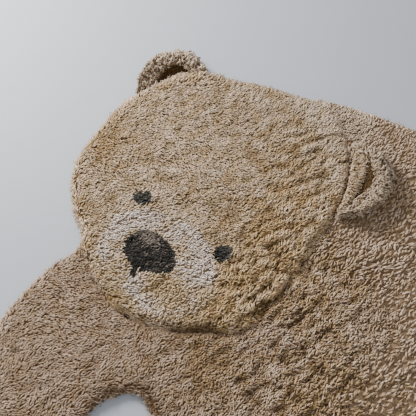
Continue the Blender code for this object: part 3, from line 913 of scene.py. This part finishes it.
def yarn_material(name, first, second, roots):
    """Twisted cotton yarn in two lots, each with a dark, a middle and a light shade, and a root colour that
    paints the shade deep in the pile.
    """
    material, shader, add = make_material(
        name, Sheen_Weight=0.2, Sheen_Roughness=0.5, Specular_IOR_Level=0.2
    )

    def noted(attribute):
        return add("ShaderNodeAttribute", attribute_name=attribute).outputs["Fac"]

    def shades(codes):
        ramp = add("ShaderNodeValToRGB", {"Fac": noted("shade")})
        ramp.color_ramp.elements.new(0.5)
        for element, code, at in zip(ramp.color_ramp.elements, codes, (0.12, 0.5, 0.9)):
            element.position, element.color = at, colour(code)
        return ramp.outputs["Color"]

    place = add("ShaderNodeTexCoord").outputs["Object"]
    fibres = add("ShaderNodeTexNoise", {"Vector": place, "Scale": 900.0, "Detail": 2.0})
    lot = noted("strand_yarn")
    yarn = mix_colours(add, lot, shades(first), shades(second))
    depth = add("ShaderNodeMapRange", {"Value": noted("along"), "From Max": ROOTS_END})
    out_of_gap = add(
        "ShaderNodeMath", {0: noted("strand_sunk"), 1: -SHADE_IN_GAPS, 2: 1.0}, operation="MULTIPLY_ADD"
    )
    lit = add("ShaderNodeMath", {0: depth.outputs[0], 1: out_of_gap.outputs[0]}, operation="MULTIPLY")
    root = mix_colours(add, lot, colour(roots[0]), colour(roots[1]))
    deep = mix_colours(add, lit.outputs[0], root, yarn)
    grain = add(
        "ShaderNodeMapRange",
        {"Value": fibres.outputs[0], "From Min": 0.3, "From Max": 0.7, "To Min": 0.84, "To Max": 1.12},
    )
    tinted = add("ShaderNodeVectorMath", {0: deep, "Scale": grain.outputs[0]}, operation="SCALE")
    rough = add("ShaderNodeMapRange", {"Value": fibres.outputs[0], "To Min": 0.82, "To Max": 1.0})
    bump = add("ShaderNodeBump", {"Height": fibres.outputs[0], "Strength": 0.5, "Distance": 0.0006})
    feed(shader, Base_Color=tinted.outputs[0], Roughness=rough.outputs[0], Normal=bump.outputs[0])
    return material


ROSY, ROSY_GOLD = ("#C3A487", "#D8BCA0", "#F1D8C1"), ("#A98852", "#C4A376", "#DCBD94")
PALE = ("#E2CFBA", "#EFDFCF", "#FAEFE4")
YARNS = {
    # name; dark, middle and light shade of the first lot, and of the second; the root of each, a painted
    # shade
    "body": ("cotton yarn, rosy tan", ROSY, ROSY_GOLD, ("#6C4E2A", "#543816")),
    "head": ("cotton yarn, warm tan", ("#CEB28D", "#EAD1B1", "#FDE5CF"),
             ("#B6925A", "#D2B182", "#ECCFA7"), ("#766036", "#5E4016")),
    "muzzle": ("cotton yarn, off-white and tan", ("#C6A87C", "#DDC299", "#F0DBBC"),
               ("#E8D5C8", "#F8E7DC", "#FFF5EE"), ("#8A6C3C", "#BCA68C")),
    # the dark yarn's second lot is a lighter grey, a painted highlight on the nose
    "dark": ("cotton yarn, near-black grey", ("#100F0B", "#27241C", "#544D41"),
             ("#62574C", "#8F8174", "#AEA090"), ("#0A0906", "#2A251E")),
    "eye": ("cotton yarn, dark grey", ("#26251F", "#45433B", "#6F6B5F"),
            ("#33302A", "#524E45", "#77726A"), ("#141310", "#141310")),
    # the ear yarn's second lot is a dark brown, the painted shade of the hollow
    "ear": ("cotton yarn, grey tan", ("#AA947C", "#C2AC93", "#D8C6B0"),
            ("#5C4426", "#6E5331", "#826540"), ("#7A6044", "#33230F")),
    "back": ("cotton yarn, rosy tan, plain side", ROSY, ROSY_GOLD, ("#B39676", "#8E7044")),
    "ends": ("loose cotton fibres, pale", PALE, PALE, ("#C8AE90", "#C8AE90")),
}  # fmt: skip
yarns = {key: yarn_material(*row) for key, row in YARNS.items()}
print("yarns:", [m.name for m in yarns.values()])

# %% [markdown]
# The backing shows only as the dark ground between the curls, so it gets the colour of yarn
# in deep shade and the small bumps of the tufts' roots. Underneath, a maker covers the glue
# with a natural cotton canvas, whose plain weave is drawn here with threads 1.6 mm apart.


# %% Backing materials
ROOT_SPACING = 0.0030  # metres between the roots of two tufts
THREAD_SPACING = 0.0016  # and between two threads of the canvas
WAVES = 0.314  # a wave texture of this scale repeats after one metre


def ground_material():
    """The roots of the tufts; each face of the backing notes its own colour for them."""
    material, shader, add = make_material(
        "roots of the tufts, shaded", Roughness=1.0, Specular_IOR_Level=0.1
    )
    place = add("ShaderNodeTexCoord").outputs["Object"]
    noted = add("ShaderNodeAttribute", attribute_name="tuft_colour").outputs["Color"]
    roots = add("ShaderNodeTexVoronoi", {"Vector": place, "Scale": 1 / ROOT_SPACING}).outputs["Distance"]
    # painted shade: the ground is darker away from the middle of each root, in the low places between the
    # bumps
    depth = add("ShaderNodeMapRange", {"Value": roots, "From Max": 0.7, "To Min": 1.1, "To Max": 0.55})
    tone = add("ShaderNodeVectorMath", {0: noted, "Scale": depth.outputs[0]}, operation="SCALE")
    bump = add("ShaderNodeBump", {"Height": roots, "Strength": 0.8, "Distance": 0.002}, invert=True)
    feed(shader, Base_Color=tone.outputs[0], Normal=bump.outputs[0])
    return material


def canvas_material():
    material, shader, add = make_material("natural cotton canvas, plain weave", Roughness=0.9)
    place = add("ShaderNodeTexCoord").outputs["Object"]
    threads = [
        add("ShaderNodeTexWave", {"Vector": place, "Scale": WAVES / THREAD_SPACING}, bands_direction=way)
        for way in ("X", "Y")
    ]
    crossing = {k: thread.outputs["Fac"] for k, thread in enumerate(threads)}
    weave = add("ShaderNodeMath", crossing, operation="MULTIPLY").outputs[0]
    bump = add("ShaderNodeBump", {"Height": weave, "Strength": 0.6, "Distance": 0.0005})
    feed(
        shader,
        Base_Color=mix_colours(add, weave, colour("#B8AC98"), colour("#DDD3C1")),
        Normal=bump.outputs[0],
    )
    return material


def note_colours(mesh, tints):
    """Store a colour for each face."""
    data = mesh.attributes.new("tuft_colour", "FLOAT_COLOR", "FACE").data
    data.foreach_set("color", np.ravel(tints).astype(np.float32))


PLAIN_GROUND = colour("#B39676")  # under the open pile of back and rump, and the canvas's own
PLAIN_FROM, PLAIN_BLEND = (0.32, 0.10), (0.12, 0.10)  # metres right of and above the face's middle
TUFT_COLOURS = {
    "body": "#7A5C3A", "head": "#7E6238", "muzzle": "#A08460", "nose": "#0E0D0C", "mouth": "#0E0D0C",
    "left_eye": "#161513", "right_eye": "#161513",
}  # fmt: skip
ground, canvas = ground_material(), canvas_material()
backing = make_object("backing", vertices, faces)
backing.data.materials.append(ground)
backing.data.materials.append(canvas)
slots = [0] * (top_count + wall_count) + [1] * (len(faces) - top_count - wall_count)
backing.data.polygons.foreach_set("material_index", slots)
backing.data.polygons.foreach_set("use_smooth", [s == 0 for s in slots])
tufts = np.array([colour(TUFT_COLOURS[name]) for name in region])
beyond = [(at - first) / blend for at, first, blend in zip((x_of, y_of), PLAIN_FROM, PLAIN_BLEND)]
plain = np.where(region == "body", np.clip(np.maximum(*beyond), 0.0, 1.0), 0.0)[:, None]
tufts = tufts * (1.0 - plain) + np.array(PLAIN_GROUND) * plain
note_colours(backing.data, [*tufts, *[PLAIN_GROUND] * slots.count(1)])
print("backing:", len(backing.data.polygons), "faces")

# %% [markdown]
# `grow` makes one piece of pile: it takes the faces of a region, notes on them how the pile lies there, runs
# the tree, and keeps the result as a plain mesh. The helper surface and its modifier are gone before the
# piece is linked to the scene.

# %% Growing the pile
socket_of = {
    item.name: item.identifier
    for item in pile_tree.interface.items_tree
    if item.item_type == "SOCKET" and item.in_out == "INPUT"
}
MOST_FACES = 200000  # in one piece of pile


def note(mesh, name, kind, values):
    data = mesh.attributes.new(name, kind, "POINT").data
    data.foreach_set("vector" if kind == "FLOAT_VECTOR" else "value", np.ravel(values).astype(np.float32))


def grow(name, surface_points, surface_faces, notes, yarn, **inputs):
    """Grow one piece of pile on a surface; notes holds a value for each of its points."""
    surface = make_object(name + "_surface", surface_points, surface_faces)
    surface.data.shade_smooth()
    for key, values in notes.items():
        note(surface.data, key, "FLOAT_VECTOR" if key == "nap" else "FLOAT", values)
    modifier = surface.modifiers.new("pile", "NODES")
    modifier.node_group = pile_tree
    modifier[socket_of["Curls"]] = curls
    modifier[socket_of["Yarn"]] = yarn
    for key, value in inputs.items():
        modifier[socket_of[key.replace("_", " ")]] = value
    shape = surface.evaluated_get(bpy.context.evaluated_depsgraph_get())
    mesh = bpy.data.meshes.new_from_object(shape)
    mesh.name = name
    for spare in ("strand_cell", "strand_side", "unrolled"):
        if spare in mesh.attributes:
            mesh.attributes.remove(mesh.attributes[spare])
    bpy.data.objects.remove(surface, do_unlink=True)
    piece = bpy.data.objects.new(name, mesh)
    bpy.context.scene.collection.objects.link(piece)
    print(name, len(mesh.polygons), "faces")
    assert 0 < len(mesh.polygons) < MOST_FACES, name + " needs other limits"
    return piece


def cut_out(chosen):
    """The points that some faces use, and those faces with their points numbered anew."""
    used = sorted({i for face in chosen for i in face})
    number = {old: new for new, old in enumerate(used)}
    return used, [[number[i] for i in face] for face in chosen]


def grow_on_rug(name, chosen, yarn, second, **inputs):
    """Grow pile on the chosen faces of the backing."""
    used, picked = cut_out([growing[k] for k in np.flatnonzero(chosen)])
    notes = {"nap": nap, "reach": reach, "density": density, "second": second, "tone": tone, "sunk": sunk}
    notes = {key: values[used] for key, values in notes.items()}
    return grow(name, vertices[used], picked, notes, yarns[yarn], **inputs)


# %% [markdown]
# The second yarn's share differs from place to place. On the muzzle it is the off-white one, strongest over
# the nose, at the right rim and along the chin, and it gives way to tan under the nose. On the nose it is a
# lighter grey on its upper left part, a painted highlight. On head and body it is a more golden lot in a few
# broad patches. It grows where the tone is darker, so that in part it paints the warm shade of the valleys.

# %% Shares of the second yarn
# partly painted shade: the golden yarn, and the tan on the muzzle, grow where the tone is darker, as in the
# valleys
PATCHY = 0.22  # how far the low, open pile takes the golden yarn
EDGE_BLEND = 0.010  # metres over which the white fades at the muzzle's edge
white = 0.30 + spots(on_rug, (
    (-0.112, -0.060, 0.030, 0.45), (-0.070, -0.018, 0.032, 0.45), (0.018, -0.008, 0.034, 0.26),
    (0.074, -0.036, 0.034, 0.38), (0.090, -0.064, 0.026, 0.42), (-0.125, -0.100, 0.026, 0.25),
    (-0.092, -0.158, 0.020, 0.20), (-0.010, -0.160, 0.018, 0.45), (0.036, -0.178, 0.024, 0.45),
    (0.118, -0.115, 0.022, 0.05), (0.064, -0.126, 0.024, -0.70), (0.030, -0.130, 0.020, -0.55),
    (0.064, -0.148, 0.018, -0.35), (-0.045, -0.185, 0.024, -0.35), (-0.060, -0.165, 0.018, -0.20),
    (-0.091, -0.024, 0.018, 0.15), (0.050, 0.008, 0.018, 0.30), (0.037, -0.048, 0.016, -0.35),
    (0.116, -0.094, 0.020, -0.40), (0.018, -0.172, 0.014, -0.25),
))  # fmt: skip
white *= np.clip(distance_inside(on_rug, patches["muzzle"]) / EDGE_BLEND, 0.0, 1.0)
white -= PATCHY * (1.0 - tone)
gold = 0.20 - PATCHY * tone + spots(on_rug, (
    (-0.262, 0.060, 0.065, 0.28), (0.165, -0.045, 0.110, 0.50), (0.130, 0.110, 0.090, 0.26),
    (0.230, 0.080, 0.080, 0.22), (-0.150, -0.100, 0.060, 0.15), (-0.040, -0.195, 0.030, 0.40),
    (0.080, 0.265, 0.080, 0.24), (0.160, 0.195, 0.070, 0.22), (0.110, 0.410, 0.050, -0.35),
))  # fmt: skip
gold_body = 0.14 - PATCHY * tone + spots(on_rug, (
    (0.290, 0.060, 0.085, 0.35), (0.250, -0.020, 0.040, 0.25), (0.230, -0.190, 0.060, 0.20),
    (0.420, -0.120, 0.110, 0.32), (0.190, -0.200, 0.070, 0.10),
))  # fmt: skip
# painted highlight on the upper left part of the nose
lit_nose = spots(on_rug, (
    (-0.052, -0.066, 0.015, 0.60), (-0.037, -0.056, 0.015, 0.60), (-0.020, -0.066, 0.014, 0.25),
))  # fmt: skip
none = np.full(len(vertices), -1.0)
print("white share on the muzzle:", round(float(white.min()), 2), "to", round(float(white.max()), 2))

# %% [markdown]
# The pile is grown region by region, and each large region is split so that no piece gets too
# heavy. Head, foreleg and belly have fine, close pile. Back and rump carry fewer and larger
# curls, and their borders waver, so that no seam shows. The nose, the mouth line and the eyes
# are close and short, which keeps their edges sharp. Last, long loose ends stand out of the rim.

# %% Pile of the rug, piece by piece
SPLIT_HEAD = 0.02  # all of these in metres right of or above the face's middle
HIND_FROM, BACK_ABOVE = 0.46, 0.10
FORE_BELOW, FORE_UNTIL = -0.14, 0.17
RIM_BAND = 0.005  # loose ends stand out of the pile this close to the rim
FINE = dict(First_kind=FIRST_TUFT, Last_kind=FIRST_SHORT + 2, Curls_per_square_metre=260000.0,
            Shortest_distance=0.0017)  # fmt: skip
OPEN = FINE | dict(Curls_per_square_metre=238000.0)  # body pile shows more of its gaps
PLAIN = dict(First_kind=FIRST_TUFT, Last_kind=FIRST_SHORT - 1, Disorder=0.50,
             Curls_per_square_metre=76000.0, Shortest_distance=0.0030, Curl_size=1.25)  # fmt: skip
NOSE_PILE = dict(Shortest_distance=0.0015, Curls_per_square_metre=260000.0, Curl_size=0.9)
MOUTH_PILE = dict(Shortest_distance=0.0010, Curls_per_square_metre=250000.0, Curl_size=0.75)
EYE_PILE = dict(Shortest_distance=0.0013, Curls_per_square_metre=300000.0, Curl_size=0.78)
ENDS = dict(First_kind=0, Last_kind=FIRST_TUFT - 1, Curls_per_square_metre=88000.0, Curl_size=2.1,
            Disorder=0.9)  # fmt: skip

head, body = region == "head", region == "body"
wavering = 0.1 * ragged
in_back, in_rump = y_of + wavering >= BACK_ABOVE, x_of + wavering >= HIND_FROM
in_fore = (y_of < FORE_BELOW) & (x_of < FORE_UNTIL)
rim_band = distance_inside(middles, rim) < RIM_BAND
pile = [
    grow_on_rug("pile_head_left", head & (x_of < SPLIT_HEAD), "head", gold, Seed=1, **FINE),
    grow_on_rug("pile_head_right", head & (x_of >= SPLIT_HEAD), "head", gold, Seed=2, Disorder=0.55, **FINE),
    grow_on_rug("pile_muzzle", region == "muzzle", "muzzle", white, Seed=3, Disorder=0.6),
    grow_on_rug("pile_nose", region == "nose", "dark", lit_nose, Seed=4, **NOSE_PILE),
    grow_on_rug("pile_mouth", region == "mouth", "dark", none, Seed=5, **MOUTH_PILE),
    grow_on_rug("pile_left_eye", region == "left_eye", "eye", none, Seed=6, **EYE_PILE),
    grow_on_rug("pile_right_eye", region == "right_eye", "eye", none, Seed=7, **EYE_PILE),
    grow_on_rug("pile_foreleg", body & in_fore, "body", gold_body, Seed=8, **OPEN),
    grow_on_rug("pile_belly", body & ~in_rump & ~in_back & ~in_fore, "body", gold_body, Seed=9,
                Disorder=0.65, **OPEN),
    grow_on_rug("pile_back", body & ~in_rump & in_back, "back", gold_body, Seed=10, **PLAIN),
    grow_on_rug("pile_rump", body & in_rump, "back", gold_body, Seed=11, **PLAIN),
    grow_on_rug("loose_ends", rim_band, "ends", none, Seed=12, **ENDS),
]  # fmt: skip
print("pile on the rug:", sum(len(p.data.polygons) for p in pile), "faces")

# %% [markdown]
# Each ear is a cupped flap with its own, greyer yarn. Its ground is made from the measured solid: a copy is
# remeshed to even faces and then shrunk along its normals, so the pile that grows on it ends at the solid's
# surface. The floor of the hollow gives each ear its own two directions, along the seam and away from the
# head, and all its marks are made in these. The hollow's shadow is painted as a crescent of short, dark brown
# pile on a dark ground. In front of it a lip of the head's own pile stands over the seam, and behind it the
# flap is plump. `FLAP_EDGE` and a drawn-in lower end round its outline, and `PILE_REACH` makes the curls
# longer towards its upper end. The curls' tone also paints light. They are lighter towards the lower end,
# where the flap's inner side lies in shade, and darker all over the right ear, whose end lies in the groove's
# shadow.

# %% The ears
EAR_SINK = 0.0012  # metres between the solid's surface and the ground
THIN_BELOW, LEAST_SINK = 0.02, 0.25  # lower than this the ground shrinks less, down to this share
EAR_VOXEL, EAR_SMOOTHING = 0.0038, 6  # size of the ground's faces, and rounds of smoothing
HOLLOW_TOP = 0.017  # a part of the ear's top lower than this is the floor of its hollow
LIP_RISE, LIP_WIDTH = 0.006, 0.006  # pile of the head stands over the seam, up to the dark lining
LIP_SHARE = 0.4  # a face with more lip than this belongs to the head's pile
PLUMP_TO, PLUMP_WIDTH = 0.023, 0.006  # the flap's inner side is plump behind the lining
PLUMP_UNTIL = 0.070  # this far from the ear's middle, along the seam
END_FROM, END_SHARE = 0.062, 0.8  # the flap's lower end is drawn in a little from here on
EDGE_DRAWN = 0.8  # what lies past the flap's edge is drawn in by this share
FLAP_EDGE = (
    # along the seam, farthest place away from the head for the ground of the pile
    (-0.090, -0.022), (-0.080, -0.012), (-0.062, 0.020), (-0.045, 0.038), (-0.028, 0.052), (0.000, 0.066),
    (0.036, 0.068), (0.063, 0.054), (0.078, 0.024), (0.089, -0.002),
)  # fmt: skip
SEAM_MARKS = 5  # so many marks of the shaded crescent lie on its seam side, and the rest on the flap's
# the crescent of painted shade in each ear's hollow, given as marks
SHADED_CRESCENT = (
    # along the ear's seam towards the other ear, and away from the head
    (-0.072, -0.012), (-0.030, 0.001), (0.004, 0.010), (0.030, 0.013), (0.066, 0.005),
    (0.043, 0.023), (0.022, 0.032), (0.004, 0.031), (-0.014, 0.022), (-0.042, 0.005),
)  # fmt: skip
PILE_REACH = ((-0.070, -0.045, -0.015, 0.030, 0.060), (0.90, 0.95, 1.10, 1.15, 1.70))
CRESCENT_REACH, LIP_REACH = 0.5, 0.9
# painted light: the ears' curls are lighter towards the lower end, where the flap's inner side lies in shade
EAR_PAINTED_LIGHT = ((-0.06, -0.02), (0.9, 0.6))  # lighter towards the lower end
# painted shade: the right ear's curls are darker all over, for the groove's shadow at its end
RIGHT_EAR_PAINTED_SHADE = 0.2
EAR_PILE = dict(First_kind=FIRST_SHORT, Last_kind=CURL_KINDS - 1, Curls_per_square_metre=110000.0,
                Shortest_distance=0.0022, Disorder=1.3)  # fmt: skip

shaded_crescent_line = pattern_line(SHADED_CRESCENT, 60, Vector((0.0, 0.0)))
seam_edge = np.array(SHADED_CRESCENT[:SEAM_MARKS]).T
flap_side = np.array([SHADED_CRESCENT[0], *SHADED_CRESCENT[: SEAM_MARKS - 1 : -1], SHADED_CRESCENT[SEAM_MARKS - 1]]).T


def even_copy(node_name):
    """An ear's solid with even, softened faces: its places, normals and faces."""
    copy = bpy.data.objects.new(node_name + "_copy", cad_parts[node_name].data.copy())
    bpy.context.scene.collection.objects.link(copy)
    remesh = copy.modifiers.new("even faces", "REMESH")
    remesh.mode, remesh.voxel_size = "VOXEL", EAR_VOXEL
    copy.modifiers.new("softer", "SMOOTH").iterations = EAR_SMOOTHING
    mesh = bpy.data.meshes.new_from_object(copy.evaluated_get(bpy.context.evaluated_depsgraph_get()))
    bpy.data.objects.remove(copy, do_unlink=True)
    places = np.array([tuple(v.co) for v in mesh.vertices])
    normals = np.array([tuple(v.normal) for v in mesh.vertices])
    return places, normals, [list(p.vertices) for p in mesh.polygons]


def ear_directions(spread, outside, mirrored):
    """Unit vectors along the seam and away from the head, from how the hollow's floor spreads."""
    _, _, axes = np.linalg.svd(spread, full_matrices=False)
    along = axes[0] * (-1.0 if (axes[0][0] > 0) == mirrored else 1.0)
    away = np.array([-along[1], along[0]])
    return along, away * (1.0 if away @ outside > 0 else -1.0)


ears = []
for side, ear_name in enumerate(("ear_left", "ear_right")):
    places, normals, shapes = even_copy(ear_name)
    base = places[:, 2].min()
    height = places[:, 2] - base
    hollow = (height < HOLLOW_TOP) & (normals[:, 2] > 0.6)
    middle = places[hollow].mean(axis=0)
    outwards = (places - middle) * (1.0, 1.0, 0.0)
    along, away = ear_directions(outwards[hollow][:, :2], middle[:2] - FACE, side == 1)
    local = outwards[:, :2] @ np.stack([along, away], axis=1)
    outwards /= np.maximum(np.linalg.norm(outwards, axis=1, keepdims=True), 1e-4)

    # painted shade: the part of the hollow inside the crescent grows dark brown pile
    shaded_crescent = (distance_inside(local, shaded_crescent_line) > 0) & (normals[:, 2] > -0.2)
    lip = np.clip((np.interp(local[:, 0], *seam_edge) - local[:, 1]) / LIP_WIDTH, 0.0, 1.0) * hollow
    inner = (normals[:, 2] > 0.1) & (height < PLUMP_TO) & (np.abs(local[:, 0]) < PLUMP_UNTIL)
    plump = np.clip((local[:, 1] - np.interp(local[:, 0], *flap_side)) / PLUMP_WIDTH, 0.0, 1.0) * inner
    thin = np.clip(height / THIN_BELOW, LEAST_SINK, 1.0)
    ground_places = places - normals * (EAR_SINK * thin)[:, None]
    ground_places[:, 2] += LIP_RISE * lip + plump * np.maximum(base + PLUMP_TO - places[:, 2], 0.0)
    ground_places[:, 2] = np.maximum(ground_places[:, 2], base + UNDERSIDE)
    past_end = np.maximum(-local[:, 0] - END_FROM, 0.0) * (1.0 - END_SHARE)
    past_edge = np.maximum(local[:, 1] - np.interp(local[:, 0], *np.array(FLAP_EDGE).T), 0.0) * EDGE_DRAWN
    ground_places[:, :2] += along * past_end[:, None] - away * past_edge[:, None]

    ear = make_object(ear_name + "_ground", ground_places, shapes)
    ear.data.materials.append(ground)
    ear.data.shade_smooth()
    # painted shade: the ground under the crescent is a darker brown
    note_colours(ear.data, [colour("#523C1E" if shaded_crescent[f].all() else "#9A8062") for f in shapes])

    top_faces = [f for f in shapes if np.mean(normals[f][:, 2]) > -0.35]
    of_head = [f for f in top_faces if np.mean(lip[f]) > LIP_SHARE]
    of_ear = [f for f in top_faces if np.mean(lip[f]) <= LIP_SHARE]
    over_seam = np.zeros_like(outwards)
    over_seam[:, :2] = away
    lengths = np.where(shaded_crescent, CRESCENT_REACH, np.interp(local[:, 0], *PILE_REACH))
    parts = []
    for part, chosen, yarn, way, scale, outer, settings in (
        ("pile_", of_ear, "ear", outwards, lengths, -1.0, EAR_PILE),
        ("pile_seam_", of_head, "head", over_seam, np.full(len(places), LIP_REACH), 0.15, FINE),
    ):
        used, cut = cut_out(chosen)
        # the second, dark brown lot under the crescent is painted shade
        notes = {
            "nap": way[used],
            "reach": scale[used],
            "density": np.ones(len(used)),
            "second": np.where(shaded_crescent[used], 1.0, outer),
            "tone": np.interp(local[used, 0], *EAR_PAINTED_LIGHT) - RIGHT_EAR_PAINTED_SHADE * side,
            "sunk": np.zeros(len(used)),
        }
        parts.append(grow(part + ear_name, ground_places[used], cut, notes, yarns[yarn],
                          Seed=20 + side, Floor=base + CLEAR_OF_FLOOR, **settings))  # fmt: skip
    ears.append((ear, parts))

# %% [markdown]
# The curls that served as models are no longer needed. Every piece then rides on the rug's one body, and the
# three grounds take the place of the measured solids, which are hidden.

# %% Attach the pieces to the rug's body
for obj in curl_objects:
    bpy.data.objects.remove(obj, do_unlink=True)
bpy.data.collections.remove(curls)

for piece in [backing, *pile]:
    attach(piece, "root")
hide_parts("rug")
for (ear, parts), ear_name in zip(ears, ("ear_left", "ear_right")):
    for piece in (ear, *parts):
        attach(piece, "root")
    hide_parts(ear_name)
